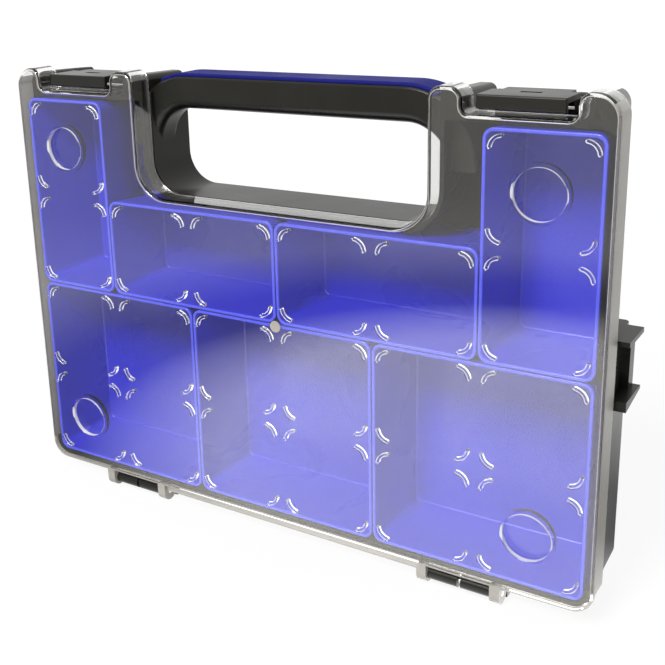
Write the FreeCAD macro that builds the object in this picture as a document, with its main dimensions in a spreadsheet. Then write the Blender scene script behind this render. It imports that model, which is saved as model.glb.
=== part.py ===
import FreeCAD, Part
import math
import os
import re

import Sketcher

# A flat carry case for screws. A tray with a hand opening holds loose bins on a square grid,
# a clear lid hinges along the bottom edge, and two latches on the top edge hold it shut.
# Pieces are drawn with X to the right, Y from the lid's face to the back and Z up from the
# bottom line of the grid. Their placement then stands the case on its feet, centred in depth.

SIZES = {
    # Grid of bins
    "cell_pitch": 46.0,
    "grid_columns": 6,
    "grid_rows": 4,
    # Lid
    "lid_margin": 4.2,
    "lid_top_rise": 14.0,
    "panel_thick": 2.0,
    "skirt_wall": 1.6,
    "skirt_depth": 12.5,
    "hinge_side_skirt": 4.0,
    "hinge_lip_setback": 2.4,
    "hinge_lip_drop": 2.7,
    "lid_corner_radius": 9.0,
    "lid_edge_round": 2.2,
    "lid_gap": 0.4,
    "corner_horn_width": 15.2,
    "latch_notch_width": 42.5,
    "inner_horn_width": 13.5,
    "horn_corner_radius": 5.0,
    "latch_notch_rise": 4.1,
    "notch_corner_radius": 3.0,
    "opening_floor_rise": 4.0,
    "opening_corner_radius": 15.0,
    # Round stacking seats in the lid and the feet on the back that sit in them
    "seat_radius": 10.0,
    "seat_depth": 2.0,
    "seat_wall": 1.4,
    "seat_clearance": 1.0,
    "back_foot_height": 2.0,
    # Curved ribs under the lid, one in each corner of each cell
    "rib_centre_inset": 8.1,
    "rib_radius": 5.2,
    "rib_width": 1.4,
    "rib_height": 2.0,
    "rib_half_angle": 37.0,
    # Tray
    "case_depth": 42.0,
    "tray_wall": 1.8,
    "tray_floor": 2.0,
    "tray_draft": 1.4,
    "tray_back_chamfer": 1.2,
    "rim_gap": 1.0,
    "rim_step_depth": 6.0,
    "rim_step_rise": 6.5,
    "upper_side_lean": 4.6,
    "upper_corner_radius": 6.5,
    # Hand opening and grip
    "frame_back_step": 2.0,
    "frame_wall_lap": 0.5,
    "handle_drop": 3.0,
    "handle_height": 14.5,
    "handle_front_step": 2.0,
    "handle_depth": 17.5,
    "handle_bend_radius": 17.0,
    "handle_under_round": 5.0,
    "handle_top_round": 1.2,
    "grip_thick": 1.4,
    "grip_edge_round": 1.0,
    "grip_back_lap": 5.0,
    "grip_end_gap": 4.0,
    "grip_seat_gap": 0.1,
    # Bins
    "bin_gap": 0.4,
    "bin_wall": 1.4,
    "bin_floor": 1.5,
    "bin_taper": 2.4,
    "bin_corner_radius": 4.5,
    "bin_floor_round": 1.0,
    "bin_rim_round": 0.5,
    "bin_seat_gap": 0.3,
    # Lid hinges
    "hinge_centre": 86.4,
    "hinge_setback": 4.6,
    "hinge_drop": 8.0,
    "ear_spacing": 32.5,
    "ear_thick": 4.3,
    "ear_radius": 4.4,
    "barrel_radius": 3.0,
    "barrel_split": 1.5,
    "barrel_arm_thick": 2.7,
    "hinge_side_gap": 0.4,
    "hinge_pin_radius": 1.25,
    "pin_fit": 0.05,
    # Standing rail and feet along the bottom
    "stand_height": 12.8,
    "rear_rail_half_length": 112.0,
    "rear_rail_thick": 4.0,
    "rear_rail_inset": 3.0,
    "ear_foot_depth": 4.0,
    "ear_foot_gap": 0.8,
    # Latches
    "latch_width": 33.4,
    "latch_setback": 3.0,
    "latch_lip_thick": 2.2,
    "latch_lip_height": 5.4,
    "latch_plate_thick": 2.2,
    "latch_edge_round": 0.8,
    "catch_rise": 1.2,
    "catch_thick": 2.0,
    "latch_clearance": 0.6,
    "pivot_setback": 25.5,
    "latch_barrel_radius": 2.7,
    "latch_tongue_width": 26.0,
    "latch_shoulder_setback": 19.0,
    "latch_slot_width": 8.0,
    "latch_slot_depth": 2.4,
    "latch_slot_setback": 13.0,
    "latch_lug_thick": 3.4,
    "latch_side_gap": 0.35,
    "latch_pin_radius": 1.1,
    # Side brackets
    "bracket_rise": 76.4,
    "bracket_height": 28.1,
    "bracket_reach": 5.4,
    "bracket_lower_fin_thick": 4.2,
    "bracket_lower_fin_tail": 1.4,
    "bracket_upper_fin_thick": 2.0,
    "bracket_front": 17.5,
    "bracket_back_inset": 5.0,
    "bracket_web_depth": 6.0,
    "bracket_web_reach": 2.4,
    # How far a cut runs past the faces that it opens
    "cut_overrun": 2.0,
}

doc = FreeCAD.newDocument("ScrewStorageCase")
sheet = doc.addObject("Spreadsheet::Sheet", "Sizes")
for row, (alias, number) in enumerate(SIZES.items(), start=1):
    sheet.set(f"A{row}", alias)
    sheet.set(f"B{row}", str(number))
    sheet.setAlias(f"B{row}", alias)
doc.recompute()


def value(expression):
    """Number that an expression in sheet names comes to now."""
    return float(sheet.evalExpression(expression))


def bind(thing, field, expression):
    """Ties a property to an expression written in sheet names."""
    names = re.compile(r"[a-z][a-z_]+")
    qualified = names.sub(lambda m: "Sizes." + m.group() if m.group() in SIZES else m.group(), expression)
    thing.setExpression(field, qualified)


# Places shared by several pieces
HALF_WIDTH = "(grid_columns * cell_pitch / 2 + lid_margin)"
LID_BOTTOM = "(0 - lid_margin)"
GRID_TOP = "(grid_rows * cell_pitch)"
LID_TOP = "(grid_rows * cell_pitch + lid_top_rise)"
NOTCH_OUTER = f"({HALF_WIDTH} - corner_horn_width)"
NOTCH_INNER = f"({NOTCH_OUTER} - latch_notch_width)"
NOTCH_FLOOR = f"({GRID_TOP} + latch_notch_rise)"
OPENING_HALF = f"({NOTCH_INNER} - inner_horn_width)"
OPENING_FLOOR = "((grid_rows - 1) * cell_pitch + opening_floor_rise)"
TRAY_INSET = "(skirt_wall + lid_gap)"
CAVITY_INSET = "(skirt_wall + lid_gap + tray_wall)"
TRAY_BOTTOM = f"({TRAY_INSET} - lid_margin)"
RIM_FRONT = "(panel_thick + rim_gap)"
FLOOR_FRONT = "(case_depth - tray_floor)"
FRAME_FRONT = "(skirt_depth + rim_gap)"
FRAME_BACK = "(case_depth - frame_back_step)"
HANDLE_FRONT = f"({FRAME_FRONT} + handle_front_step)"
HANDLE_BACK = f"({HANDLE_FRONT} + handle_depth)"
HANDLE_TOP = f"({LID_TOP} - handle_drop)"
HANDLE_UNDER = f"({HANDLE_TOP} - handle_height)"
ELBOW_RISE = f"({HANDLE_UNDER} - handle_bend_radius)"
LINER_TOP = f"({HANDLE_UNDER} + handle_height / 2)"
LATCH_CENTRE = f"(({NOTCH_OUTER} + {NOTCH_INNER}) / 2)"
LIP_BOTTOM = f"({NOTCH_FLOOR} + catch_rise + latch_clearance)"
LATCH_TOP = f"({LIP_BOTTOM} + latch_lip_height)"
PIVOT_RISE = f"({LATCH_TOP} - latch_plate_thick - latch_barrel_radius / 2)"
STAND_BOTTOM = "(0 - stand_height)"
BRACKET_TOP = "(bracket_rise + bracket_height)"


def new_body(label):
    """Body for one piece, placed so that the case stands on its feet at the origin."""
    body = doc.addObject("PartDesign::Body", label)
    body.Label = label
    place(body)
    return body


def place(piece, across="0", up="0"):
    """Ties a piece's placement to the case's standing height and depth."""
    bind(piece, "Placement.Base.x", across)
    bind(piece, "Placement.Base.y", "0 - (case_depth + back_foot_height) / 2")
    bind(piece, "Placement.Base.z", f"stand_height + {up}")


def sketch_on(body, name, plane_role, offset):
    """Empty sketch on one of the body's own planes, moved along X, Y or Z by the offset."""
    plane = next(f for f in body.Origin.OriginFeatures if f.Role == plane_role)
    sketch = body.newObject("Sketcher::SketchObject", name)
    sketch.AttachmentSupport = [(plane, "")]
    sketch.MapMode = "FlatFace"
    bind(sketch, "AttachmentOffset.Base.z", f"0 - {offset}" if plane_role == "XZ_Plane" else offset)
    return sketch


def tie(sketch, kind, expression, *where):
    """Adds a dimension to a sketch and ties it to the sheet."""
    index = sketch.addConstraint(Sketcher.Constraint(kind, *where, value(expression)))
    bind(sketch, f"Constraints[{index}]", expression)


def draw_outline(sketch, corners):
    """Closed outline of level and upright lines. Each corner is (across, up, radius), anticlockwise
    or clockwise, and every line and radius is tied to the sheet."""
    spots = [FreeCAD.Vector(value(across), value(up), 0) for across, up, radius in corners]
    radii = [value(radius) for across, up, radius in corners]
    count = len(corners)
    heading = [(spots[(i + 1) % count] - spots[i]).normalize() for i in range(count)]
    lines = []
    for i in range(count):
        start = spots[i] + heading[i] * radii[i]
        end = spots[(i + 1) % count] - heading[i] * radii[(i + 1) % count]
        lines.append(sketch.addGeometry(Part.LineSegment(start, end)))
        level = abs(heading[i].y) < abs(heading[i].x)
        sketch.addConstraint(Sketcher.Constraint("Horizontal" if level else "Vertical", lines[i]))
        across, up, radius = corners[i]
        tie(sketch, "DistanceY" if level else "DistanceX", up if level else across, -1, 1, lines[i], 1)
    for i in range(count):
        before, after = lines[i - 1], lines[i]
        if radii[i] == 0:
            sketch.addConstraint(Sketcher.Constraint("Coincident", before, 2, after, 1))
            continue
        inward, onward = heading[i - 1], heading[i]
        enter = spots[i] - inward * radii[i]
        leave = spots[i] + onward * radii[i]
        middle = spots[i] + (onward - inward) * radii[i]
        halfway = middle + (spots[i] - middle).normalize() * radii[i]
        arc = sketch.addGeometry(Part.Arc(enter, halfway, leave))
        left_turn = inward.cross(onward).z > 0
        first, last = (1, 2) if left_turn else (2, 1)
        sketch.addConstraint(Sketcher.Constraint("Tangent", before, 2, arc, first))
        sketch.addConstraint(Sketcher.Constraint("Tangent", after, 1, arc, last))
        tie(sketch, "Radius", corners[i][2], arc)


def box_corners(left, right, bottom, top, radius="0"):
    return [(left, bottom, radius), (right, bottom, radius), (right, top, radius), (left, top, radius)]


def draw_circle(sketch, across, up, radius):
    centre = FreeCAD.Vector(value(across), value(up), 0)
    circle = sketch.addGeometry(Part.Circle(centre, FreeCAD.Vector(0, 0, 1), value(radius)))
    tie(sketch, "Radius", radius, circle)
    tie(sketch, "DistanceX", across, -1, 1, circle, 3)
    tie(sketch, "DistanceY", up, -1, 1, circle, 3)


def settle(body, feature):
    """Makes a new feature the body's last one, recomputes it and stops if it failed."""
    body.Tip = feature
    doc.recompute()
    if not feature.isValid() or feature.Shape.isNull():
        raise RuntimeError(f"{body.Label}: {feature.Name} failed")
    return feature


def extrude(body, name, sketch, length, adds=True):
    """Pads or pockets a sketch towards +X, +Y or +Z over a length."""
    feature = body.newObject("PartDesign::Pad" if adds else "PartDesign::Pocket", name)
    feature.Profile = sketch
    faces_minus_y = sketch.AttachmentSupport[0][0].Role == "XZ_Plane"
    feature.Reversed = faces_minus_y if adds else not faces_minus_y
    bind(feature, "Length", length)
    sketch.Visibility = False
    return settle(body, feature)


def slab(body, name, corners, front, back, adds=True):
    """Outline drawn in X and Z, filled or cut from one depth to another."""
    sketch = sketch_on(body, name + "_outline", "XZ_Plane", front)
    draw_outline(sketch, corners)
    return extrude(body, name, sketch, f"{back} - {front}", adds)


def disc(body, name, across, up, radius, front, back, adds=True):
    """Round pad or pocket along the depth."""
    sketch = sketch_on(body, name + "_outline", "XZ_Plane", front)
    draw_circle(sketch, across, up, radius)
    return extrude(body, name, sketch, f"{back} - {front}", adds)


def profile(body, name, corners, left, right, adds=True):
    """Outline drawn in Y and Z, filled or cut from one X to another."""
    sketch = sketch_on(body, name + "_outline", "YZ_Plane", left)
    draw_outline(sketch, corners)
    return extrude(body, name, sketch, f"{right} - {left}", adds)


def rod(body, name, setback, up, radius, left, right, adds=True):
    """Round pad or pocket along X."""
    sketch = sketch_on(body, name + "_outline", "YZ_Plane", left)
    draw_circle(sketch, setback, up, radius)
    return extrude(body, name, sketch, f"{right} - {left}", adds)


def loft(body, name, near_corners, near, far_corners, far, adds=True):
    """Straight-sided blend between two outlines at two depths."""
    sketches = []
    for end, corners, depth in (("near", near_corners, near), ("far", far_corners, far)):
        sketch = sketch_on(body, f"{name}_{end}", "XZ_Plane", depth)
        draw_outline(sketch, corners)
        sketch.Visibility = False
        sketches.append(sketch)
    doc.recompute()
    feature = body.newObject("PartDesign::AdditiveLoft" if adds else "PartDesign::SubtractiveLoft", name)
    feature.Profile = sketches[0]
    feature.Sections = [sketches[1]]
    feature.Ruled = True
    return settle(body, feature)


def wedge(body, name, front_ends, back_ends, bottom_ends, top_ends, front, back, adds=True):
    """Block with leaning sides. Its left and right ends, and its bottom and top, are given as pairs at the
    front and at the back."""
    feature = body.newObject("PartDesign::AdditiveWedge" if adds else "PartDesign::SubtractiveWedge", name)
    for field, ends in (("X", front_ends), ("X2", back_ends)):
        bind(feature, f"{field}min", ends[0])
        bind(feature, f"{field}max", ends[1])
    for field, front_end, back_end in (("min", *bottom_ends), ("max", *top_ends)):
        bind(feature, f"Z{field}", front_end)
        bind(feature, f"Z2{field}", back_end)
    bind(feature, "Ymin", front)
    bind(feature, "Ymax", back)
    return settle(body, feature)


def round_edges(body, name, radius, chosen):
    """Rounds the edges of the body that the test picks."""
    base = body.Tip
    names = [f"Edge{i}" for i, edge in enumerate(base.Shape.Edges, start=1) if chosen(edge.BoundBox)]
    feature = body.newObject("PartDesign::Fillet", name)
    feature.Base = (base, names)
    bind(feature, "Radius", radius)
    return settle(body, feature)


def near(number, expression):
    """Whether a measured place is the place that an expression gives."""
    return math.isclose(number, value(expression), abs_tol=value("pin_fit") / 10)


def case_outline(side_inset, notch_inset):
    """Outline of the case, drawn in by one amount along its sides and another in its notches."""
    wide = f"({HALF_WIDTH} - {side_inset})"
    low = f"({LID_BOTTOM} + {side_inset})"
    high = f"({LID_TOP} - {side_inset})"
    outer = f"({NOTCH_OUTER} + {notch_inset})"
    inner = f"({NOTCH_INNER} - {notch_inset})"
    ledge = f"({NOTCH_FLOOR} - {notch_inset})"
    hand = f"({OPENING_HALF} + {notch_inset})"
    floor = f"({OPENING_FLOOR} - {notch_inset})"
    corner = f"(lid_corner_radius - {side_inset})"
    horn = f"(horn_corner_radius - {notch_inset})"
    notch = f"(notch_corner_radius + {notch_inset})"
    palm = f"(opening_corner_radius + {notch_inset})"
    right = [(wide, low, corner), (wide, high, corner), (outer, high, horn), (outer, ledge, notch),
             (inner, ledge, notch), (inner, high, horn), (hand, high, horn), (hand, floor, palm)]
    left = [(f"(0 - {across})", up, radius) for across, up, radius in reversed(right)]
    return right + left


def cavity_outline(draft):
    """Space for the bins: the case's outline without its horns, running on beside the hand opening."""
    inset = f"({CAVITY_INSET} + {draft})"
    wide = f"({HALF_WIDTH} - {inset})"
    low = f"({LID_BOTTOM} + {inset})"
    high = f"({NOTCH_FLOOR} - {CAVITY_INSET})"
    hand = f"({OPENING_HALF} + {CAVITY_INSET})"
    floor = f"({OPENING_FLOOR} - {CAVITY_INSET})"
    corner = f"(lid_corner_radius - {CAVITY_INSET})"
    palm = f"(opening_corner_radius + {CAVITY_INSET})"
    right = [(wide, low, corner), (wide, high, corner), (hand, high, "0"), (hand, floor, palm)]
    left = [(f"(0 - {across})", up, radius) for across, up, radius in reversed(right)]
    return right + left


def bend_round_handle(body, name, section):
    """Sweeps a section, drawn at the foot of the right elbow, over the handle's arch to the left elbow."""
    path = sketch_on(body, name + "_path", "XZ_Plane", f"(({HANDLE_FRONT} + {HANDLE_BACK}) / 2)")
    reach = "(handle_bend_radius + handle_height / 2)"
    bend = f"({OPENING_HALF} - handle_bend_radius)"
    radius, level, foot = value(reach), value(f"{ELBOW_RISE} + {reach}"), value(ELBOW_RISE)
    half = value(bend)
    slant = radius * math.sin(math.pi / 4)
    right = path.addGeometry(Part.Arc(FreeCAD.Vector(half + radius, foot, 0),
                                      FreeCAD.Vector(half + slant, foot + slant, 0),
                                      FreeCAD.Vector(half, level, 0)))
    bar = path.addGeometry(Part.LineSegment(FreeCAD.Vector(half, level, 0), FreeCAD.Vector(-half, level, 0)))
    left = path.addGeometry(Part.Arc(FreeCAD.Vector(-half, level, 0),
                                     FreeCAD.Vector(-half - slant, foot + slant, 0),
                                     FreeCAD.Vector(-half - radius, foot, 0)))
    path.addConstraint(Sketcher.Constraint("Tangent", right, 2, bar, 1))
    path.addConstraint(Sketcher.Constraint("Tangent", bar, 2, left, 1))
    path.addConstraint(Sketcher.Constraint("Horizontal", bar))
    tie(path, "Radius", reach, right)
    tie(path, "Radius", reach, left)
    tie(path, "DistanceX", bend, -1, 1, right, 3)
    tie(path, "DistanceX", f"0 - {bend}", -1, 1, left, 3)
    tie(path, "DistanceY", ELBOW_RISE, -1, 1, right, 3)
    tie(path, "DistanceY", ELBOW_RISE, -1, 1, right, 1)
    tie(path, "DistanceY", ELBOW_RISE, -1, 1, left, 2)
    sketch = sketch_on(body, name + "_section", "XY_Plane", ELBOW_RISE)
    draw_outline(sketch, section)
    doc.recompute()
    feature = body.newObject("PartDesign::AdditivePipe", name)
    feature.Profile = sketch
    feature.Spine = (path, ["Edge1", "Edge2", "Edge3"])
    path.Visibility = sketch.Visibility = False
    return settle(body, feature)


SIDES = {"left": "-1", "right": "1"}
SEAT_PLACES = [(side, up) for side in SIDES.values()
               for up in ("cell_pitch / 2", "(grid_rows - 1 / 2) * cell_pitch")]
SEAT_ACROSS = "((grid_columns - 1) / 2 * cell_pitch)"


def lean_upper_side(tray, side_name, side):
    """Leans the tray's side wall in above its bracket, with a shelf at the foot of the leaning wall."""
    wall = f"({HALF_WIDTH} - {TRAY_INSET})"
    slope = f"((lid_gap + tray_draft + upper_side_lean) / (case_depth - {RIM_FRONT}))"

    def ends(near_end, far_end):
        """Two places beside the right wall, or their mirror images beside the left one, in order."""
        return sorted((f"{side} * {near_end}", f"{side} * {far_end}"), key=value)

    def leaning(depth, inset):
        """X of the leaning face at a depth, drawn in by an inset."""
        return f"({wall} + lid_gap - {inset} - {slope} * ({depth} - {RIM_FRONT}))"

    in_floor = "(case_depth - tray_floor / 2)"
    shelf = f"({BRACKET_TOP} - tray_wall)"
    ledge = f"({NOTCH_FLOOR} - {CAVITY_INSET} + tray_wall / 2)"
    wedge(tray, f"{side_name}_upper_wall",
          ends(leaning(RIM_FRONT, "tray_wall"), f"({wall} - tray_wall / 2)"),
          ends(leaning(in_floor, "tray_wall"), f"({wall} - tray_draft - tray_wall / 2)"),
          (shelf, shelf), (ledge, ledge), RIM_FRONT, in_floor)
    past_back = "(case_depth + cut_overrun)"
    past_side = f"({HALF_WIDTH} + cut_overrun)"
    past_top = f"({LID_TOP} + cut_overrun)"

    def outside_corner(depth, top):
        """Space past the leaning face and over the horn, with the horn's outer corner left round."""
        face = leaning(depth, "0")
        corners = [(face, BRACKET_TOP, "0"), (past_side, BRACKET_TOP, "0"), (past_side, past_top, "0"),
                   (NOTCH_OUTER, past_top, "0"), (NOTCH_OUTER, top, "0"), (face, top, "upper_corner_radius")]
        return [(f"({side} * {across})", up, radius) for across, up, radius in corners]

    horn_top = f"({LID_TOP} - {TRAY_INSET} + lid_gap)"
    loft(tray, f"{side_name}_upper_relief", outside_corner(RIM_FRONT, horn_top), RIM_FRONT,
         outside_corner(past_back, f"({horn_top} - tray_draft)"), past_back, False)


def make_tray():
    """Black moulded tray with its hand frame, hinge barrels, latch lugs, rail, feet and side brackets."""
    tray = new_body("tray")
    drafted = f"({TRAY_INSET} + tray_draft)"
    chamfer_front = "(case_depth - tray_back_chamfer)"
    loft(tray, "shell", case_outline(TRAY_INSET, TRAY_INSET), RIM_FRONT,
         case_outline(drafted, TRAY_INSET), chamfer_front)
    loft(tray, "back_edge", case_outline(drafted, TRAY_INSET), chamfer_front,
         case_outline(f"({drafted} + tray_back_chamfer)", f"({TRAY_INSET} + tray_back_chamfer)"),
         "case_depth")
    loft(tray, "cavity", cavity_outline("0"), RIM_FRONT, cavity_outline("tray_draft"), FLOOR_FRONT, False)

    liner_half = f"({OPENING_HALF} + {TRAY_INSET} + frame_wall_lap)"
    liner_low = f"({OPENING_FLOOR} - {TRAY_INSET} - frame_wall_lap)"
    liner_round = f"(opening_corner_radius + {TRAY_INSET})"
    slab(tray, "opening_liner", [
        (f"0 - {liner_half}", LINER_TOP, "0"), (f"0 - {liner_half}", liner_low, liner_round),
        (liner_half, liner_low, liner_round), (liner_half, LINER_TOP, "0"), (OPENING_HALF, LINER_TOP, "0"),
        (OPENING_HALF, OPENING_FLOOR, "opening_corner_radius"),
        (f"0 - {OPENING_HALF}", OPENING_FLOOR, "opening_corner_radius"),
        (f"0 - {OPENING_HALF}", LINER_TOP, "0")], FRAME_FRONT, FRAME_BACK)
    handle_outer = f"({OPENING_HALF} + handle_height)"
    bend_round_handle(tray, "handle", [
        (OPENING_HALF, HANDLE_FRONT, "handle_under_round"), (handle_outer, HANDLE_FRONT, "handle_top_round"),
        (handle_outer, HANDLE_BACK, "handle_top_round"), (OPENING_HALF, HANDLE_BACK, "handle_under_round")])

    for index, (side, up) in enumerate(SEAT_PLACES):
        disc(tray, f"back_foot_{index}", f"{side} * {SEAT_ACROSS}", up, "seat_radius - seat_clearance",
             FLOOR_FRONT, "(case_depth + back_foot_height)")

    rear_rail_back = "(case_depth - rear_rail_inset)"
    slab(tray, "rear_rail", box_corners("0 - rear_rail_half_length", "rear_rail_half_length", STAND_BOTTOM,
                                        f"({TRAY_BOTTOM} + tray_draft + tray_wall / 2)"),
         f"({rear_rail_back} - rear_rail_thick)", rear_rail_back)
    foot_front = "(hinge_setback + ear_radius + ear_foot_gap)"
    barrel_half = "((ear_spacing - ear_thick) / 2 - hinge_side_gap)"
    arm_back = "(hinge_setback + barrel_radius)"
    for side_name, side in SIDES.items():
        lean_upper_side(tray, side_name, side)
        centre = f"({side} * hinge_centre)"
        for end, way in (("inner", "-1"), ("outer", "1")):
            ear = f"({centre} + {way} * ear_spacing / 2)"
            slab(tray, f"{side_name}_{end}_foot",
                 box_corners(f"({ear} - ear_thick / 2)", f"({ear} + ear_thick / 2)", STAND_BOTTOM,
                             f"({TRAY_BOTTOM} + tray_wall / 2)"),
                 foot_front, f"({foot_front} + ear_foot_depth)")
            near_end = f"({centre} + {way} * barrel_split / 2)"
            far_end = f"({centre} + {way} * {barrel_half})"
            left, right = (far_end, near_end) if way == "-1" else (near_end, far_end)
            rod(tray, f"{side_name}_{end}_barrel", "hinge_setback", "0 - hinge_drop", "barrel_radius",
                left, right)
            slab(tray, f"{side_name}_{end}_arm",
                 box_corners(left, right, "0 - hinge_drop", f"({TRAY_BOTTOM} + tray_wall / 2)"),
                 f"({arm_back} - barrel_arm_thick)", arm_back)
        rod(tray, f"{side_name}_hinge_bore", "hinge_setback", "0 - hinge_drop", "hinge_pin_radius + pin_fit",
            f"({centre} - {barrel_half} - cut_overrun)", f"({centre} + {barrel_half} + cut_overrun)", False)

        latch = f"({side} * {LATCH_CENTRE})"
        lug_floor = f"({NOTCH_FLOOR} - {TRAY_INSET} - tray_wall / 2)"
        for end, way in (("inner", "-1"), ("outer", "1")):
            near_end = f"({latch} + {way} * (latch_tongue_width / 2 + latch_side_gap))"
            far_end = f"({near_end} + {way} * latch_lug_thick)"
            left, right = (far_end, near_end) if way == "-1" else (near_end, far_end)
            rod(tray, f"{side_name}_{end}_lug_eye", "pivot_setback", PIVOT_RISE, "latch_barrel_radius",
                left, right)
            slab(tray, f"{side_name}_{end}_lug", box_corners(left, right, lug_floor, PIVOT_RISE),
                 "(pivot_setback - latch_barrel_radius)", "(pivot_setback + latch_barrel_radius)")
        sill_half = "(latch_tongue_width / 2 + latch_side_gap + latch_lug_thick / 2)"
        slab(tray, f"{side_name}_latch_sill",
             box_corners(f"({latch} - {sill_half})", f"({latch} + {sill_half})", lug_floor,
                         f"({PIVOT_RISE} - latch_barrel_radius - latch_clearance)"),
             "(pivot_setback - latch_barrel_radius)", "(pivot_setback + latch_barrel_radius)")
        lug_reach = "(latch_tongue_width / 2 + latch_side_gap + latch_lug_thick + cut_overrun)"
        rod(tray, f"{side_name}_latch_bore", "pivot_setback", PIVOT_RISE, "latch_pin_radius + pin_fit",
            f"({latch} - {lug_reach})", f"({latch} + {lug_reach})", False)

        wall = f"({HALF_WIDTH} - {TRAY_INSET})"
        inside = f"({side} * ({wall} - tray_draft - tray_wall / 2))"
        bracket_back = "(case_depth - bracket_back_inset)"
        web_end = f"({side} * ({wall} + bracket_web_reach))"
        fin_end = f"({side} * ({wall} + bracket_reach))"
        low, high = sorted((inside, web_end), key=value)
        slab(tray, f"{side_name}_bracket_web", box_corners(low, high, "bracket_rise", BRACKET_TOP),
             f"({bracket_back} - bracket_web_depth)", bracket_back)
        ends = sorted((inside, fin_end), key=value)
        fin_top = "(bracket_rise + bracket_lower_fin_thick)"
        fin_under = f"({BRACKET_TOP} - bracket_upper_fin_thick)"
        wedge(tray, f"{side_name}_lower_fin", ends, ends,
              ("bracket_rise", f"({fin_top} - bracket_lower_fin_tail)"), (fin_top, fin_top),
              "bracket_front", bracket_back)
        wedge(tray, f"{side_name}_upper_fin", ends, ends, (fin_under, fin_under), (BRACKET_TOP, BRACKET_TOP),
              "bracket_front", bracket_back)

    # The side and top rims stand lower than the rims of the bins, whose outer walls show past them
    past_side = f"({HALF_WIDTH} + cut_overrun)"
    slab(tray, "rim_step",
         box_corners(f"0 - {past_side}", past_side, "rim_step_rise", f"({LID_TOP} + cut_overrun)"),
         "panel_thick", f"({RIM_FRONT} + rim_step_depth)", False)
    return tray


def rib_solid(centre_x, centre_z, turn):
    """Curved rib with round ends, part of a ring about a point inside the cell."""
    radius, half_width = value("rib_radius"), value("rib_width") / 2
    start, end = turn - value("rib_half_angle"), turn + value("rib_half_angle")

    def spot(reach, angle):
        direction = math.radians(angle)
        return FreeCAD.Vector(centre_x + reach * math.cos(direction), value("panel_thick - rib_height / 2"),
                              centre_z + reach * math.sin(direction))

    def cap(angle, lean):
        """Half-round end, bulging past the angle."""
        swell = math.degrees(half_width / radius) * lean
        return spot(radius, angle + swell)

    outer, inner = radius + half_width, radius - half_width
    edges = [Part.Arc(spot(outer, start), spot(outer, turn), spot(outer, end)).toShape(),
             Part.Arc(spot(outer, end), cap(end, 1), spot(inner, end)).toShape(),
             Part.Arc(spot(inner, end), spot(inner, turn), spot(inner, start)).toShape(),
             Part.Arc(spot(inner, start), cap(start, -1), spot(outer, start)).toShape()]
    face = Part.Face(Part.Wire(edges))
    return face.extrude(FreeCAD.Vector(0, value("rib_height * 3 / 2"), 0))


def lid_cells():
    """Column and row of every grid cell under the lid, leaving out those of the hand opening."""
    columns, rows = int(value("grid_columns")), int(value("grid_rows"))
    return [(column, row) for column in range(columns) for row in range(rows)
            if row < rows - 1 or column in (0, columns - 1)]


def make_lid():
    """Clear lid: a panel with a skirt, a lower lip, stacking seats, hinge ears, latch catches and ribs."""
    shell = new_body("lid_shell")
    slab(shell, "block", case_outline("0", "0"), "0", "skirt_depth")
    round_edges(shell, "front_round", "lid_edge_round", lambda box: near(box.YMax, "0"))
    past_skirt = "(skirt_depth + cut_overrun)"
    slab(shell, "hollow", case_outline("skirt_wall", "skirt_wall"), "panel_thick", past_skirt, False)
    skirt_end = f"({LID_BOTTOM} + lid_corner_radius)"
    over = f"({HALF_WIDTH} + cut_overrun)"
    slab(shell, "hinge_side_cut",
         box_corners(f"0 - {over}", over, f"({LID_BOTTOM} - cut_overrun)", skirt_end),
         "hinge_side_skirt", past_skirt, False)
    lip_end = "(hinge_centre - ear_spacing / 2)"
    slab(shell, "hinge_lip",
         box_corners(f"(0 - {lip_end})", lip_end, f"({LID_BOTTOM} - hinge_lip_drop)",
                     f"({LID_BOTTOM} + skirt_wall / 2)"),
         "hinge_lip_setback", "hinge_side_skirt")
    for index, (side, up) in enumerate(SEAT_PLACES):
        across = f"{side} * {SEAT_ACROSS}"
        disc(shell, f"seat_cup_{index}", across, up, "seat_radius + seat_wall", "panel_thick / 2",
             "(panel_thick + seat_depth)")
        disc(shell, f"seat_{index}", across, up, "seat_radius", "(0 - cut_overrun)", "seat_depth", False)
    for side_name, side in SIDES.items():
        centre = f"({side} * hinge_centre)"
        for end, way in (("inner", "-1"), ("outer", "1")):
            ear = f"({centre} + {way} * ear_spacing / 2)"
            left, right = f"({ear} - ear_thick / 2)", f"({ear} + ear_thick / 2)"
            rod(shell, f"{side_name}_{end}_ear", "hinge_setback", "0 - hinge_drop", "ear_radius", left, right)
            slab(shell, f"{side_name}_{end}_neck", box_corners(left, right, "0 - hinge_drop", "0"),
                 "(hinge_setback - ear_radius)", "panel_thick")
            rod(shell, f"{side_name}_{end}_eye", "hinge_setback", "0 - hinge_drop",
                "hinge_pin_radius + pin_fit", f"({left} - cut_overrun)", f"({right} + cut_overrun)", False)
        latch = f"({side} * {LATCH_CENTRE})"
        slab(shell, f"{side_name}_catch",
             box_corners(f"({latch} - latch_width / 2)", f"({latch} + latch_width / 2)",
                         f"({NOTCH_FLOOR} - skirt_wall / 2)", f"({NOTCH_FLOOR} + catch_rise)"),
             "latch_setback", "(latch_setback + catch_thick)")

    ribs = doc.addObject("Part::Feature", "corner_ribs")
    pitch, inset = value("cell_pitch"), value("rib_centre_inset")
    solids = []
    for column, row in lid_cells():
        left = (column - value("grid_columns") / 2) * pitch
        bottom = row * pitch
        for across, up, turn in ((inset, inset, 225), (pitch - inset, inset, 315),
                                 (pitch - inset, pitch - inset, 45), (inset, pitch - inset, 135)):
            solids.append(rib_solid(left + across, bottom + up, turn))
    ribs.Shape = Part.makeCompound(solids)
    place(ribs)
    lid = doc.addObject("Part::MultiFuse", "lid")
    lid.Label = "lid"
    lid.Shapes = [shell, ribs]
    doc.recompute()
    return lid


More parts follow.
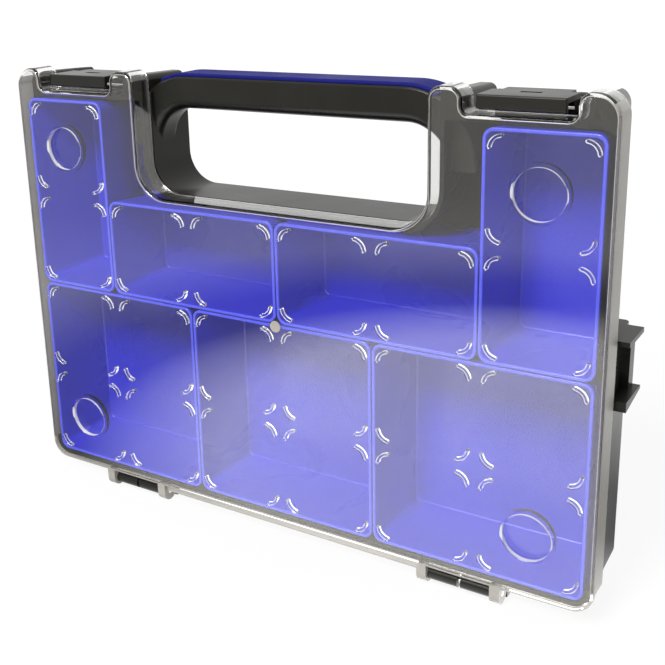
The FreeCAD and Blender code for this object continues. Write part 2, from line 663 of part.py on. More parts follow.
# Bins by name: first column, first row, columns wide, rows high
BINS = {
    "bin_lower_left": (0, 0, 2, 2),
    "bin_lower_middle": (2, 0, 2, 2),
    "bin_lower_right": (4, 0, 2, 2),
    "bin_middle_left": (1, 2, 2, 1),
    "bin_middle_right": (3, 2, 2, 1),
    "bin_upper_left": (0, 2, 1, 2),
    "bin_upper_right": (5, 2, 1, 2),
}


def make_bin(label, column, row, wide, high):
    """Loose blue bin with leaning walls that drops into the tray from the front. A wall beside one of the
    tray's upper sides leans in as far as that side does."""
    bin_body = new_body(label)
    place(bin_body, f"({column} + {wide} / 2 - grid_columns / 2) * cell_pitch",
          f"({row} + {high} / 2) * cell_pitch")
    half_wide = f"(({wide} * cell_pitch - bin_gap) / 2)"
    half_high = f"(({high} * cell_pitch - bin_gap) / 2)"
    beside_upper = value(f"({row} + {high}) * cell_pitch") > value(BRACKET_TOP)
    left_lean = "upper_side_lean" if beside_upper and column == 0 else "0"
    right_lean = "upper_side_lean" if beside_upper and column + wide == SIZES["grid_columns"] else "0"

    def block(name, wall, depth_share, end, adds):
        """Leaning block, drawn in by a wall and as deep as a share of the bin."""
        wedge(bin_body, name,
              (f"{wall} - {half_wide}", f"{half_wide} - {wall}"),
              (f"{wall} + {depth_share} * (bin_taper + {left_lean}) - {half_wide}",
               f"{half_wide} - {wall} - {depth_share} * (bin_taper + {right_lean})"),
              (f"{wall} - {half_high}", f"{wall} + {depth_share} * bin_taper - {half_high}"),
              (f"{half_high} - {wall}", f"{half_high} - {wall} - {depth_share} * bin_taper"),
              RIM_FRONT, end, adds)

    back = f"({FLOOR_FRONT} - bin_seat_gap)"
    inside = f"({back} - bin_floor)"
    block("outside", "0", "1", back, True)
    round_edges(bin_body, "corner_round", "bin_corner_radius",
                lambda box: near(box.YMin, RIM_FRONT) and near(box.YMax, back))
    round_edges(bin_body, "base_round", "bin_floor_round", lambda box: near(box.YMin, back))
    block("inside", "bin_wall", f"(({inside} - {RIM_FRONT}) / ({back} - {RIM_FRONT}))", inside, False)
    round_edges(bin_body, "inner_corner_round", "bin_corner_radius - bin_wall",
                lambda box: near(box.YMin, RIM_FRONT) and near(box.YMax, inside))
    round_edges(bin_body, "floor_round", "bin_floor_round",
                lambda box: near(box.YMin, inside) and near(box.YMax, inside))
    round_edges(bin_body, "rim_round", "bin_rim_round", lambda box: near(box.YMax, RIM_FRONT))
    return bin_body


def make_grip():
    """Soft blue grip along the top of the handle, from its front edge over its back shoulder."""
    grip = new_body("grip")
    end = f"({OPENING_HALF} - grip_end_gap)"
    front, back = f"({HANDLE_FRONT} + handle_top_round)", f"({HANDLE_BACK} + grip_seat_gap)"
    tail = f"({back} + grip_thick)"
    seat = f"({OPENING_HALF} + handle_height + grip_seat_gap)"
    crown = f"({seat} + grip_thick)"
    low = f"({seat} - grip_back_lap)"
    inner_round = "(handle_top_round + grip_seat_gap)"
    outer_round = "(handle_top_round + grip_seat_gap + grip_thick)"
    bend_round_handle(grip, "cap", [
        (seat, front, "0"), (crown, front, "grip_edge_round"), (crown, tail, outer_round), (low, tail, "0"),
        (low, back, "0"), (seat, back, inner_round)])
    far = f"({crown} + cut_overrun)"
    for name, left, right in (("left_end", f"(0 - {far})", f"(0 - {end})"), ("right_end", end, far)):
        slab(grip, name,
             box_corners(left, right, f"({ELBOW_RISE} - cut_overrun)", f"({LID_TOP} + cut_overrun)"),
             f"({front} - cut_overrun)", f"({tail} + cut_overrun)", False)
    return grip


def make_latch(label, side):
    """Black latch: a plate on a pivot barrel, with a lip that hangs over the lid's catch."""
    latch = new_body(label)
    centre = f"({side} * {LATCH_CENTRE})"
    half = "(latch_width / 2)"
    left, right = f"({centre} - {half})", f"({centre} + {half})"
    plate_under = f"({LATCH_TOP} - latch_plate_thick)"
    lip_back = "(latch_setback + latch_lip_thick)"
    profile(latch, "plate", [
        ("latch_setback", LIP_BOTTOM, "0"), (lip_back, LIP_BOTTOM, "0"), (lip_back, plate_under, "0"),
        ("pivot_setback", plate_under, "0"), ("pivot_setback", LATCH_TOP, "0"),
        ("latch_setback", LATCH_TOP, "0")], left, right)
    tongue_left = f"({centre} - latch_tongue_width / 2)"
    tongue_right = f"({centre} + latch_tongue_width / 2)"
    over = f"({LATCH_TOP} + cut_overrun)"
    for name, low, high in (("left_shoulder", f"({left} - cut_overrun)", tongue_left),
                            ("right_shoulder", tongue_right, f"({right} + cut_overrun)")):
        slab(latch, name, box_corners(low, high, LIP_BOTTOM, over), "latch_shoulder_setback",
             "(pivot_setback + cut_overrun)", False)
    rod(latch, "barrel", "pivot_setback", PIVOT_RISE, "latch_barrel_radius", tongue_left, tongue_right)
    rod(latch, "pin_bore", "pivot_setback", PIVOT_RISE, "latch_pin_radius + pin_fit",
        f"({tongue_left} - cut_overrun)", f"({tongue_right} + cut_overrun)", False)
    slab(latch, "slot",
         box_corners(f"({centre} - latch_slot_width / 2)", f"({centre} + latch_slot_width / 2)",
                     f"({plate_under} - cut_overrun)", over),
         "latch_slot_setback", "(latch_slot_setback + latch_slot_depth)", False)
    round_edges(latch, "edge_round", "latch_edge_round",
                lambda box: near(box.YMin, "latch_setback") and near(box.YMax, "latch_setback"))
    return latch


def make_pin(label, centre, half_length, setback, up, radius):
    """Plain steel pin along X."""
    pin = new_body(label)
    rod(pin, "shank", setback, up, radius, f"({centre} - {half_length})", f"({centre} + {half_length})")
    return pin


pieces = [make_tray(), make_lid(), make_grip()]
for bin_name, bin_place in BINS.items():
    pieces.append(make_bin(bin_name, *bin_place))
for side_name, side in SIDES.items():
    pieces.append(make_latch(f"{side_name}_latch", side))
    pieces.append(make_pin(f"{side_name}_latch_pin", f"({side} * {LATCH_CENTRE})",
                           "(latch_tongue_width / 2 + latch_side_gap + latch_lug_thick)",
                           "pivot_setback", PIVOT_RISE, "latch_pin_radius"))
    pieces.append(make_pin(f"{side_name}_hinge_pin", f"({side} * hinge_centre)",
                           "((ear_spacing + ear_thick) / 2)",
                           "hinge_setback", "0 - hinge_drop", "hinge_pin_radius"))

doc.recompute()
for thing in doc.Objects:
    if "Invalid" in thing.State or "Error" in thing.State:
        raise RuntimeError(f"{thing.Name} failed: {thing.State}")
for piece in pieces:
    if piece.Shape.isNull() or not piece.Shape.isValid() or len(piece.Shape.Solids) != 1:
        raise RuntimeError(f"{piece.Label} is not one sound solid")

os.makedirs("parts", exist_ok=True)
for piece in pieces:
    piece.Shape.exportStep(f"parts/{piece.Label}.step")
    box = piece.Shape.BoundBox
    reach = (box.XMin, box.XMax, box.YMin, box.YMax, box.ZMin, box.ZMax)
    print(f"{piece.Label:18} volume {piece.Shape.Volume:10.1f} ", *(f"{end:8.2f}" for end in reach))
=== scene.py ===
import math

import bpy
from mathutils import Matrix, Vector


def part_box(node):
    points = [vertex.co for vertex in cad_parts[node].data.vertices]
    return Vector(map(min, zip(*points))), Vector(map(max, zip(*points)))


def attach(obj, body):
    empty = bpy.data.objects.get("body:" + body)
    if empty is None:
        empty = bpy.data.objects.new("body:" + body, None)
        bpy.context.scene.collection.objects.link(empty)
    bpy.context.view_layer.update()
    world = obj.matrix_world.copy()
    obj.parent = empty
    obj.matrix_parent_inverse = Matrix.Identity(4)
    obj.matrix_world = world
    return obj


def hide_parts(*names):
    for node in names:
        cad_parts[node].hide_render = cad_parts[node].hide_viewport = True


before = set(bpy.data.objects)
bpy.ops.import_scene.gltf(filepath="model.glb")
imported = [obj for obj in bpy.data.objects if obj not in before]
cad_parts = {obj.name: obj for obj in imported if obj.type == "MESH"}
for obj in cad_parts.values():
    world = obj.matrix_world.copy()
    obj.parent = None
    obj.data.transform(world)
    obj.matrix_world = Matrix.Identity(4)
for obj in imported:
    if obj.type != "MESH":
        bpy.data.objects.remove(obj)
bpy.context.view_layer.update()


# Tray: the black moulding that carries everything, with the hand opening, feet, hinge barrels,
# latch lugs and side brackets in one piece. Injection-moulded polypropylene with a polished face;
# its edges are broken a little by the mould.
def merged_copy(node):
    """Copy of a CAD node as one closed skin with no more edges than its shape needs."""
    bpy.ops.object.select_all(action="DESELECT")
    piece = bpy.data.objects.new(node + "_moulding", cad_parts[node].data.copy())
    bpy.context.collection.objects.link(piece)
    piece.data.materials.clear()
    bpy.context.view_layer.objects.active = piece
    piece.select_set(True)
    bpy.ops.object.mode_set(mode="EDIT")
    bpy.ops.mesh.select_all(action="SELECT")
    bpy.ops.mesh.customdata_custom_splitnormals_clear()
    bpy.ops.mesh.remove_doubles(threshold=2e-6)
    bpy.ops.mesh.dissolve_limited(angle_limit=math.radians(0.4))
    bpy.ops.mesh.select_all(action="DESELECT")
    bpy.ops.object.mode_set(mode="OBJECT")
    return piece


def smooth_skin(piece, edge, steps=2):
    """Rounds a piece's sharp edges by a small amount and shades its curved faces smooth."""
    if edge:
        bevel = piece.modifiers.new("broken_edges", "BEVEL")
        bevel.width = edge
        bevel.segments = steps
        bevel.limit_method = "ANGLE"
        bevel.angle_limit = math.radians(38)
        bpy.ops.object.modifier_apply(modifier="broken_edges")
    bpy.ops.object.shade_smooth_by_angle(angle=math.radians(32))
    flat = piece.modifiers.new("flat_faces", "WEIGHTED_NORMAL")
    flat.weight = 100
    flat.keep_sharp = True
    bpy.ops.object.modifier_apply(modifier="flat_faces")


def moulded_copy(node, edge):
    """Merged copy of a CAD node with its edges broken and its faces shaded."""
    piece = merged_copy(node)
    smooth_skin(piece, edge)
    return piece


def new_material(name):
    """Empty node material with its shader and output."""
    material = bpy.data.materials.new(name)
    material.use_nodes = True
    return material, material.node_tree.nodes, material.node_tree.links


def finish_grain():
    """Group for the fine grain and faint smears that every moulded face shows."""
    group = bpy.data.node_groups.new("moulded_grain", "ShaderNodeTree")
    for name, low in (("Grain Scale", 900.0), ("Smear Scale", 22.0)):
        socket = group.interface.new_socket(name, in_out="INPUT", socket_type="NodeSocketFloat")
        socket.default_value = low
    for name in ("Height", "Smear", "Mottle"):
        group.interface.new_socket(name, in_out="OUTPUT", socket_type="NodeSocketFloat")
    nodes, links = group.nodes, group.links
    enter, leave = nodes.new("NodeGroupInput"), nodes.new("NodeGroupOutput")
    place = nodes.new("ShaderNodeTexCoord")
    fine = nodes.new("ShaderNodeTexNoise")
    fine.inputs["Detail"].default_value = 3
    smear = nodes.new("ShaderNodeTexNoise")
    smear.inputs["Detail"].default_value = 6
    smear.inputs["Distortion"].default_value = 0.8
    mottle = nodes.new("ShaderNodeTexNoise")
    mottle.inputs["Scale"].default_value = 60
    mottle.inputs["Detail"].default_value = 4
    for texture in (fine, smear, mottle):
        links.new(place.outputs["Object"], texture.inputs["Vector"])
    links.new(enter.outputs["Grain Scale"], fine.inputs["Scale"])
    links.new(enter.outputs["Smear Scale"], smear.inputs["Scale"])
    links.new(fine.outputs["Fac"], leave.inputs["Height"])
    links.new(smear.outputs["Fac"], leave.inputs["Smear"])
    links.new(mottle.outputs["Fac"], leave.inputs["Mottle"])
    return group


grain = finish_grain()


def moulded_plastic(name, dark, light, roughness, relief_strength, specular, gloss_tint=(1, 1, 1),
                    grain_scale=900.0):
    """Moulded plastic: two near colours mottled together, with smears in its gloss and a fine grain."""
    material, nodes, links = new_material(name)
    shader = nodes["Principled BSDF"]
    look = nodes.new("ShaderNodeGroup")
    look.node_tree = grain
    look.inputs["Grain Scale"].default_value = grain_scale
    tint = nodes.new("ShaderNodeMix")
    tint.data_type = "RGBA"
    tint.inputs["A"].default_value = (*dark, 1)
    tint.inputs["B"].default_value = (*light, 1)
    links.new(look.outputs["Mottle"], tint.inputs["Factor"])
    links.new(tint.outputs["Result"], shader.inputs["Base Color"])
    shader.inputs["Specular IOR Level"].default_value = specular
    shader.inputs["Specular Tint"].default_value = (*gloss_tint, 1)
    gloss = nodes.new("ShaderNodeMapRange")
    gloss.inputs["From Min"].default_value = 0.3
    gloss.inputs["From Max"].default_value = 0.7
    gloss.inputs["To Min"].default_value, gloss.inputs["To Max"].default_value = roughness
    links.new(look.outputs["Smear"], gloss.inputs["Value"])
    links.new(gloss.outputs["Result"], shader.inputs["Roughness"])
    relief = nodes.new("ShaderNodeBump")
    relief.inputs["Strength"].default_value = relief_strength
    relief.inputs["Distance"].default_value = 0.0002
    links.new(look.outputs["Height"], relief.inputs["Height"])
    links.new(relief.outputs["Normal"], shader.inputs["Normal"])
    return material


warm_gloss = (1, 0.97, 0.9)
case_black = moulded_plastic("case_black", dark=(0.006, 0.006, 0.005), light=(0.012, 0.0118, 0.01),
                             roughness=(0.24, 0.32), relief_strength=0.04, specular=0.2,
                             gloss_tint=warm_gloss)
tray_edge = 0.00035
tray = moulded_copy("tray", tray_edge)
tray.data.materials.append(case_black)
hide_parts("tray")
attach(tray, "case")


# Bins: loose trays of cobalt blue polypropylene, a little translucent. The front faces of their rims are
# painted a paler blue, painted light for the glow of the translucent plastic there. They drop into the case
# from the front and are lifted out by hand.
bin_blue = moulded_plastic("bin_blue", dark=(0.016, 0.017, 0.5), light=(0.02, 0.022, 0.56),
                           roughness=(0.24, 0.36), relief_strength=0.003, specular=0.4)
nodes, links = bin_blue.node_tree.nodes, bin_blue.node_tree.links
rim_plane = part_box("bin_lower_left")[0].y
rim_band = 0.0012
where = nodes.new("ShaderNodeTexCoord")
axes = nodes.new("ShaderNodeSeparateXYZ")
links.new(where.outputs["Object"], axes.inputs["Vector"])
# Painted light: faces within a thin band of the rim plane get a paler blue, standing in for light glowing
# through the translucent rims.
rim = nodes.new("ShaderNodeMapRange")
rim.inputs["From Min"].default_value = rim_plane + rim_band
rim.inputs["From Max"].default_value = rim_plane
links.new(axes.outputs["Y"], rim.inputs["Value"])
rim_painted_light = nodes.new("ShaderNodeMix")
rim_painted_light.data_type = "RGBA"
rim_painted_light.inputs["B"].default_value = (0.07, 0.085, 0.8, 1)
links.new(rim.outputs["Result"], rim_painted_light.inputs["Factor"])
links.new(nodes["Mix"].outputs["Result"], rim_painted_light.inputs["A"])
links.new(rim_painted_light.outputs["Result"], nodes["Principled BSDF"].inputs["Base Color"])
for node in ("bin_lower_left", "bin_lower_middle", "bin_lower_right", "bin_middle_left", "bin_middle_right",
             "bin_upper_left", "bin_upper_right"):
    storage_bin = moulded_copy(node, 0)
    storage_bin.data.materials.append(bin_blue)
    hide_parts(node)
    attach(storage_bin, "case")


# Grip: a soft dark blue cover moulded along the top of the bar, from its front edge over its back
# shoulder, and cut off square short of the elbows.
grip_blue = moulded_plastic("grip_blue", dark=(0.005, 0.006, 0.1), light=(0.008, 0.009, 0.14),
                            roughness=(0.5, 0.66), relief_strength=0.2, specular=0.08, grain_scale=1600.0)
grip_edge = 0.0004
grip = moulded_copy("grip", grip_edge)
grip.data.materials.append(grip_blue)
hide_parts("grip")
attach(grip, "case")


# Pins: plain drawn steel wire, cut to length and pushed through the hinge barrels and the latch
# lugs, where the lid's ears and the latches turn on it. Drawing leaves fine marks along the wire.
pin_steel, nodes, links = new_material("pin_steel")
shader = nodes["Principled BSDF"]
shader.inputs["Metallic"].default_value = 1
draw_marks = nodes.new("ShaderNodeTexNoise")
stretch = nodes.new("ShaderNodeMapping")
stretch.inputs["Scale"].default_value = (40, 2500, 2500)
where = nodes.new("ShaderNodeTexCoord")
links.new(where.outputs["Object"], stretch.inputs["Vector"])
links.new(stretch.outputs["Vector"], draw_marks.inputs["Vector"])
ramp = nodes.new("ShaderNodeMapRange")
ramp.inputs["To Min"].default_value = 0.2
ramp.inputs["To Max"].default_value = 0.42
links.new(draw_marks.outputs["Fac"], ramp.inputs["Value"])
links.new(ramp.outputs["Result"], shader.inputs["Roughness"])
steel_tint = nodes.new("ShaderNodeMix")
steel_tint.data_type = "RGBA"
steel_tint.inputs["A"].default_value = (0.5, 0.5, 0.51, 1)
steel_tint.inputs["B"].default_value = (0.64, 0.64, 0.65, 1)
links.new(draw_marks.outputs["Fac"], steel_tint.inputs["Factor"])
links.new(steel_tint.outputs["Result"], shader.inputs["Base Color"])
pin_edge = 0.0002
for node in ("left_hinge_pin", "right_hinge_pin", "left_latch_pin", "right_latch_pin"):
    pin = moulded_copy(node, pin_edge)
    pin.data.materials.append(pin_steel)
    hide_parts(node)
    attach(pin, "case")


# Lid: one clear moulding with a skirt, round stacking seats and a curved rib in each corner of each
# grid square. It swings down on its two hinges. Lamps shine through it on to the bins. The rims of its
# ribs and seats are painted near white, and its outer edges, a band of its front edge, its ears and lower
# lip
# are painted a pale beige grey: painted highlights for the light lines that clear plastic shows there.
def let_lamps_through(nodes, links, tint):
    """Lets lamp light pass straight through a clear material, so that it lights what lies behind."""
    path = nodes.new("ShaderNodeLightPath")
    passing = nodes.new("ShaderNodeMath")
    passing.operation = "MAXIMUM"
    links.new(path.outputs["Is Shadow Ray"], passing.inputs[0])
    links.new(path.outputs["Is Diffuse Ray"], passing.inputs[1])
    clear = nodes.new("ShaderNodeBsdfTransparent")
    clear.inputs["Color"].default_value = (*tint, 1)
    blend = nodes.new("ShaderNodeMixShader")
    links.new(passing.outputs["Value"], blend.inputs["Fac"])
    links.new(nodes["Principled BSDF"].outputs["BSDF"], blend.inputs[1])
    links.new(clear.outputs["BSDF"], blend.inputs[2])
    links.new(blend.outputs["Shader"], nodes["Material Output"].inputs["Surface"])


lid_clear, nodes, links = new_material("lid_clear")
shader = nodes["Principled BSDF"]
shader.inputs["Transmission Weight"].default_value = 1
clear_plastic_ior = 1.49
shader.inputs["IOR"].default_value = clear_plastic_ior
shader.inputs["Specular Tint"].default_value = (1, 0.98, 0.93, 1)
look = nodes.new("ShaderNodeGroup")
look.node_tree = grain
look.inputs["Smear Scale"].default_value = 7
smudge = nodes.new("ShaderNodeMapRange")
smudge.inputs["From Min"].default_value = 0.38
smudge.inputs["From Max"].default_value = 0.62
smudge.inputs["To Min"].default_value = 0.005
smudge.inputs["To Max"].default_value = 0.025
links.new(look.outputs["Smear"], smudge.inputs["Value"])
links.new(smudge.outputs["Result"], shader.inputs["Roughness"])
clear_tint = nodes.new("ShaderNodeMix")
clear_tint.data_type = "RGBA"
clear_tint.inputs["A"].default_value = (0.97, 0.97, 0.955, 1)
clear_tint.inputs["B"].default_value = (0.99, 0.99, 0.98, 1)
links.new(look.outputs["Mottle"], clear_tint.inputs["Factor"])
links.new(clear_tint.outputs["Result"], shader.inputs["Base Color"])
let_lamps_through(nodes, links, (0.95, 0.95, 0.94))


def pale_clear(name, dark, light, see_through):
    """Clear plastic with a pale skin, partly see-through and soft in its gloss: frosted on the gate mark,
    painted highlight on the lid's ribs, seats and edges.
    """
    material, nodes, links = new_material(name)
    shader = nodes["Principled BSDF"]
    shader.inputs["Transmission Weight"].default_value = see_through
    shader.inputs["IOR"].default_value = clear_plastic_ior
    look = nodes.new("ShaderNodeGroup")
    look.node_tree = grain
    frost = nodes.new("ShaderNodeMapRange")
    frost.inputs["To Min"].default_value = 0.25
    frost.inputs["To Max"].default_value = 0.45
    links.new(look.outputs["Height"], frost.inputs["Value"])
    links.new(frost.outputs["Result"], shader.inputs["Roughness"])
    pale_tint = nodes.new("ShaderNodeMix")
    pale_tint.data_type = "RGBA"
    pale_tint.inputs["A"].default_value = (*dark, 1)
    pale_tint.inputs["B"].default_value = (*light, 1)
    links.new(look.outputs["Mottle"], pale_tint.inputs["Factor"])
    links.new(pale_tint.outputs["Result"], shader.inputs["Base Color"])
    let_lamps_through(nodes, links, (0.8, 0.8, 0.79))
    return material


# Pale lid materials: near white for painted highlights on the rib and seat rims; pale beige grey for
# painted highlights along the lid's edges, also used for the frosted gate mark.
painted_rim_highlight = pale_clear("lid_wall_bright", (0.86, 0.84, 0.8), (0.96, 0.94, 0.9), 0.25)
frost_and_painted_edge_light = pale_clear("lid_edge_frost", (0.32, 0.3, 0.265), (0.5, 0.475, 0.43), 0.12)
lid = merged_copy("lid")
for material in (lid_clear, painted_rim_highlight, frost_and_painted_edge_light):
    lid.data.materials.append(material)
bright, edge_light_slot = 1, 2
lid_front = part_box("lid")[0].y
lid_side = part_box("lid")[1].x
pitch = (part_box("bin_lower_middle")[0].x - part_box("bin_lower_left")[0].x) / 2
grid_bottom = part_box("bin_lower_left")[0].z
lid_bottom = grid_bottom - 0.0045
hair = 1e-5
rib_tip_depth = 0.004
largest_rib_tip = 2e-5
largest_rib_rim = 2e-6
outline_width = 0.0002
seat_radius = 0.01
seat_rim_width = 0.0008
edge_round = 0.0022
edge_light_band_low, edge_light_band_high = 0.85, 0.91
side_skin = 0.0004
margin_across, margin_below = 0.0035, 0.001
seat_column, seat_rows = 2.5, (0.5, 3.5)
seat_places = [(side * seat_column * pitch, grid_bottom + row * pitch)
               for side in (-1, 1) for row in seat_rows]


def seat_reach(spot):
    """Distance of a point from the axis of the nearest seat."""
    return min(math.hypot(spot.x - across, spot.z - up) for across, up in seat_places)


def on_seat_rim(spot):
    """Whether a point lies on the front edge of a seat."""
    return abs(spot.y - lid_front) < hair and abs(seat_reach(spot) - seat_radius) < hair * 10


def at_rib_tip(face):
    """Whether a face lies at the depth where the ribs end."""
    return abs(face.center.y - lid_front - rib_tip_depth) < hair


# Painted highlight: a thin ring round the tip of each rib, away from the seats, takes the near-white pale
# material, for the bright outline that light draws there in the clear plastic.
for face in lid.data.polygons:
    face.select = at_rib_tip(face) and face.area < largest_rib_tip
bpy.context.tool_settings.mesh_select_mode = (False, False, True)
bpy.ops.object.mode_set(mode="EDIT")
bpy.ops.mesh.inset(thickness=outline_width, use_individual=True)
bpy.ops.object.mode_set(mode="OBJECT")
for face in lid.data.polygons:
    small_rim = at_rib_tip(face) and not face.select and face.area < largest_rib_rim
    if small_rim and seat_reach(face.center) > seat_radius * 1.2:
        face.material_index = bright
    face.select = False
spots = lid.data.vertices
# Painted highlight: the front edge of each seat is bevelled into a narrow ring that takes the near-white
# pale material.
for edge in lid.data.edges:
    edge.select = all(on_seat_rim(spots[index].co) for index in edge.vertices)
bpy.context.tool_settings.mesh_select_mode = (False, True, False)
bpy.ops.object.mode_set(mode="EDIT")
bpy.ops.mesh.bevel(offset=seat_rim_width, segments=1)
bpy.ops.object.mode_set(mode="OBJECT")
# Painted highlight: a band of the front edge fillet, the outer sides and the lower edge with the ears take
# the pale beige grey material, for the light lines that clear edges show.
for face in lid.data.polygons:
    depth = face.center.y - lid_front
    in_seat = seat_reach(face.center) < seat_radius + seat_rim_width and depth < edge_round
    on_edge_light_band = depth < edge_round and edge_light_band_low < -face.normal.y < edge_light_band_high
    outer_side = abs(face.center.x) > lid_side - side_skin and abs(face.normal.x) > 0.9
    past_side = abs(face.center.x) > lid_side - margin_across
    outside_grid = face.center.z < grid_bottom - margin_below or past_side
    lower_edge = face.center.z < lid_bottom or (outside_grid and face.normal.z < -0.1)
    if in_seat and abs(face.normal.y) < 0.9:
        face.material_index = bright
    elif on_edge_light_band or outer_side or lower_edge:
        face.material_index = edge_light_slot
smooth_skin(lid, 0)
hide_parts("lid")
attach(lid, "lid")


# Gate mark: the rough frosted spot in the middle of the lid, inside, where the clear plastic was fed
# into the mould and the feed was cut off. It is part of the moulding.
gate_radius = 0.0026
gate_height = 0.0005
gate_depth = 0.0019
gate_row = 1.98
gate_place = (0, lid_front + gate_depth + gate_height / 2, grid_bottom + gate_row * pitch)
gate_ring, gate_nib, gate_hollow = gate_radius * 0.45, gate_radius * 0.2, gate_height * 0.6
bpy.ops.object.select_all(action="DESELECT")
bpy.ops.mesh.primitive_cylinder_add(vertices=28, radius=gate_radius, depth=gate_height,
                                    location=gate_place, rotation=(math.radians(-90), 0, 0))
gate = bpy.context.object
gate.name = "lid_gate_mark"
bpy.ops.object.transform_apply(location=True, rotation=True, scale=True)
for face in gate.data.polygons:
    face.select = face.normal.y > 0.9
bpy.context.tool_settings.mesh_select_mode = (False, False, True)
bpy.ops.object.mode_set(mode="EDIT")
bpy.ops.mesh.inset(thickness=gate_ring)
bpy.ops.mesh.extrude_region_move(TRANSFORM_OT_translate={"value": (0, gate_height, 0)})
bpy.ops.mesh.inset(thickness=gate_nib)
bpy.ops.mesh.extrude_region_move(TRANSFORM_OT_translate={"value": (0, -gate_hollow, 0)})
bpy.ops.object.mode_set(mode="OBJECT")
gate.data.materials.append(frost_and_painted_edge_light)
gate_edge = 0.0001
smooth_skin(gate, gate_edge)
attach(gate, "lid")


# Latches: black levers on the top edge, moulded in the tray's plastic with a slightly duller face.
# Each turns up about its pin between two lugs, and its lip then frees the catch on the lid.
latch_black = moulded_plastic("latch_black", dark=(0.006, 0.006, 0.005), light=(0.011, 0.0108, 0.009),
                              roughness=(0.26, 0.4), relief_strength=0.06, specular=0.26,
                              gloss_tint=warm_gloss)
latch_edge = 0.0003
for side in ("left", "right"):
    latch = moulded_copy(side + "_latch", latch_edge)
    latch.data.materials.append(latch_black)
    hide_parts(side + "_latch")
    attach(latch, side + "_latch")


# Studio: a pale floor that looks white but keeps the shadow, a white surround and soft lamps. What
# the camera, gloss and clear pieces see of the surround is white; what lights the case is plainer.
# A glowing patch of floor before the case, with a darker ring round it, shows only in gloss: a painted
# reflection, seen mostly in the lid.
def seen_directly(nodes, links):
    """Value that is 1 for what is looked at, mirrored or seen through a clear piece."""
    path = nodes.new("ShaderNodeLightPath")
    total = path.outputs["Is Camera Ray"]
    for ray in ("Is Glossy Ray", "Is Transmission Ray"):
        either = nodes.new("ShaderNodeMath")
        either.operation = "MAXIMUM"
        links.new(total, either.inputs[0])
        links.new(path.outputs[ray], either.inputs[1])
        total = either.outputs["Value"]
    return total


bpy.ops.object.select_all(action="DESELECT")
floor_drop = 0.0003
bpy.ops.mesh.primitive_plane_add(size=12, location=(0, 0, -floor_drop))
floor = bpy.context.object
floor.name = "studio_floor"
floor_white, nodes, links = new_material("floor_white")
shader = nodes["Principled BSDF"]
shader.inputs["Base Color"].default_value = (0.62, 0.62, 0.61, 1)
shader.inputs["Roughness"].default_value = 0.7
shader.inputs["Specular IOR Level"].default_value = 0
glow = nodes.new("ShaderNodeEmission")
glow.inputs["Color"].default_value = (1, 1, 1, 1)
where = nodes.new("ShaderNodeTexCoord")


def floor_spread(centre, reach):
    """Value that falls from 1 at a point of the floor to 0 at a reach across and along."""
    spread = nodes.new("ShaderNodeMapping")
    spread.vector_type = "TEXTURE"
    spread.inputs["Location"].default_value = (*centre, 0)
    spread.inputs["Scale"].default_value = (*reach, 1)
    fall = nodes.new("ShaderNodeTexGradient")
    fall.gradient_type = "SPHERICAL"
    links.new(where.outputs["Object"], spread.inputs["Vector"])
    links.new(spread.outputs["Vector"], fall.inputs["Vector"])
    return fall.outputs["Fac"]


far_white = nodes.new("ShaderNodeMapRange")
far_white.inputs["To Min"].default_value = 1
far_white.inputs["To Max"].default_value = 0.84
shadow_reach = 1.1
links.new(floor_spread((0, 0), (shadow_reach, shadow_reach)), far_white.inputs["Value"])
whiten = nodes.new("ShaderNodeMath")
whiten.operation = "MULTIPLY"
links.new(seen_directly(nodes, links), whiten.inputs[0])
links.new(far_white.outputs["Result"], whiten.inputs[1])
blend = nodes.new("ShaderNodeMixShader")
links.new(whiten.outputs["Value"], blend.inputs["Fac"])
links.new(shader.outputs["BSDF"], blend.inputs[1])
links.new(glow.outputs["Emission"], blend.inputs[2])
links.new(blend.outputs["Shader"], nodes["Material Output"].inputs["Surface"])
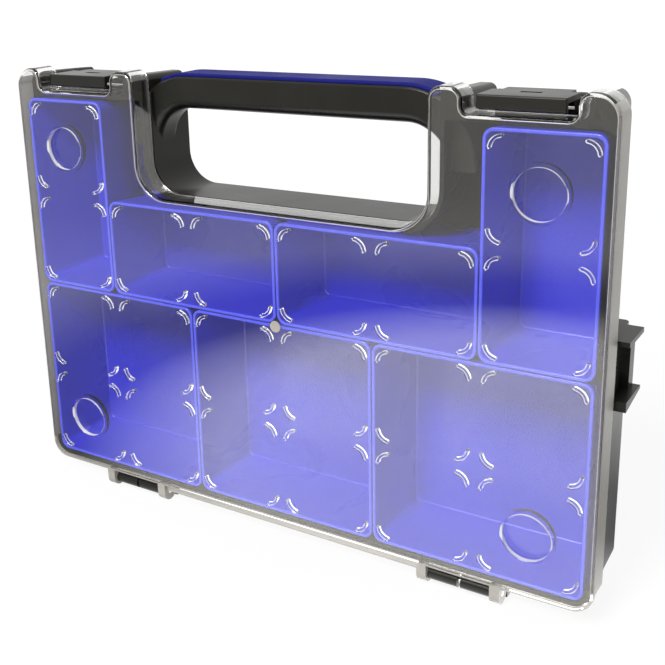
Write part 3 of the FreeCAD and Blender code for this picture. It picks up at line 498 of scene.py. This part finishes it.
# Painted reflection: for glossy rays only, the floor glows up to 3.5 in a patch before the case, with a
# dark ring round it, so that the lid mirrors a pattern of light and dark.
patch_centre = (0.08, -0.17)
patch_across, patch_along, patch_reach = 0.235, 0.2, 3
painted_reflection = nodes.new("ShaderNodeValToRGB")
links.new(floor_spread(patch_centre, (patch_across * patch_reach, patch_along * patch_reach)),
          painted_reflection.inputs["Fac"])
painted_reflection_top = 3.5
painted_reflection_steps = ((3, 1.05), (1.9, 1.4), (1.4, 0.4), (1.15, 0.4), (1.0, 1.8), (0.8, 3.5), (0, 3.2))
while len(painted_reflection.color_ramp.elements) < len(painted_reflection_steps):
    painted_reflection.color_ramp.elements.new(0.5)
for stop, (reach, brightness) in zip(painted_reflection.color_ramp.elements, painted_reflection_steps):
    stop.position = 1 - reach / patch_reach
    stop.color = (*[brightness / painted_reflection_top] * 3, 1)
mirrored = nodes.new("ShaderNodeLightPath")
lift = nodes.new("ShaderNodeMath")
lift.operation = "MULTIPLY"
lift.inputs[1].default_value = painted_reflection_top
links.new(painted_reflection.outputs["Color"], lift.inputs[0])
level = nodes.new("ShaderNodeMix")
level.inputs["A"].default_value = 1.06
links.new(mirrored.outputs["Is Glossy Ray"], level.inputs["Factor"])
links.new(lift.outputs["Value"], level.inputs["B"])
links.new(level.outputs["Result"], glow.inputs["Strength"])
floor.data.materials.append(floor_white)

world = bpy.data.worlds.new("studio_white")
bpy.context.scene.world = world
world.use_nodes = True
nodes, links = world.node_tree.nodes, world.node_tree.links
background = nodes["Background"]
strength = nodes.new("ShaderNodeMapRange")
strength.inputs["To Min"].default_value = 0.1
strength.inputs["To Max"].default_value = 1
links.new(seen_directly(nodes, links), strength.inputs["Value"])
links.new(strength.outputs["Result"], background.inputs["Strength"])
background.inputs["Color"].default_value = (1, 1, 1, 1)

for name, place, turn, size, power in (
        ("key_lamp", (-0.06, -1.0, 1.15), (43.7, 0, -3.4), 0.42, 25),
        ("fill_lamp", (1.1, -0.7, 0.6), (66, 0, 58), 0.7, 4),
        ("top_lamp", (0.0, 0.3, 1.4), (0, 0, 0), 0.8, 4)):
    bpy.ops.object.light_add(type="AREA", location=place, rotation=[math.radians(a) for a in turn])
    lamp = bpy.context.object
    lamp.name = name
    lamp.data.size = size
    lamp.data.energy = power

camera_data = bpy.data.cameras.new("camera")
camera = bpy.data.objects.new("camera", camera_data)
bpy.context.collection.objects.link(camera)
camera.location = (0.23676, -0.37749, 0.26159)
camera.rotation_euler = [math.radians(a) for a in (73.321, 2.011, 33.131)]
camera_data.lens = 56.994
camera_data.sensor_width = 36
camera_data.shift_x = 0.094
camera_data.shift_y = -0.106
camera_data.clip_start = 0.01
bpy.context.scene.camera = camera
bpy.context.scene.view_settings.view_transform = "Standard"
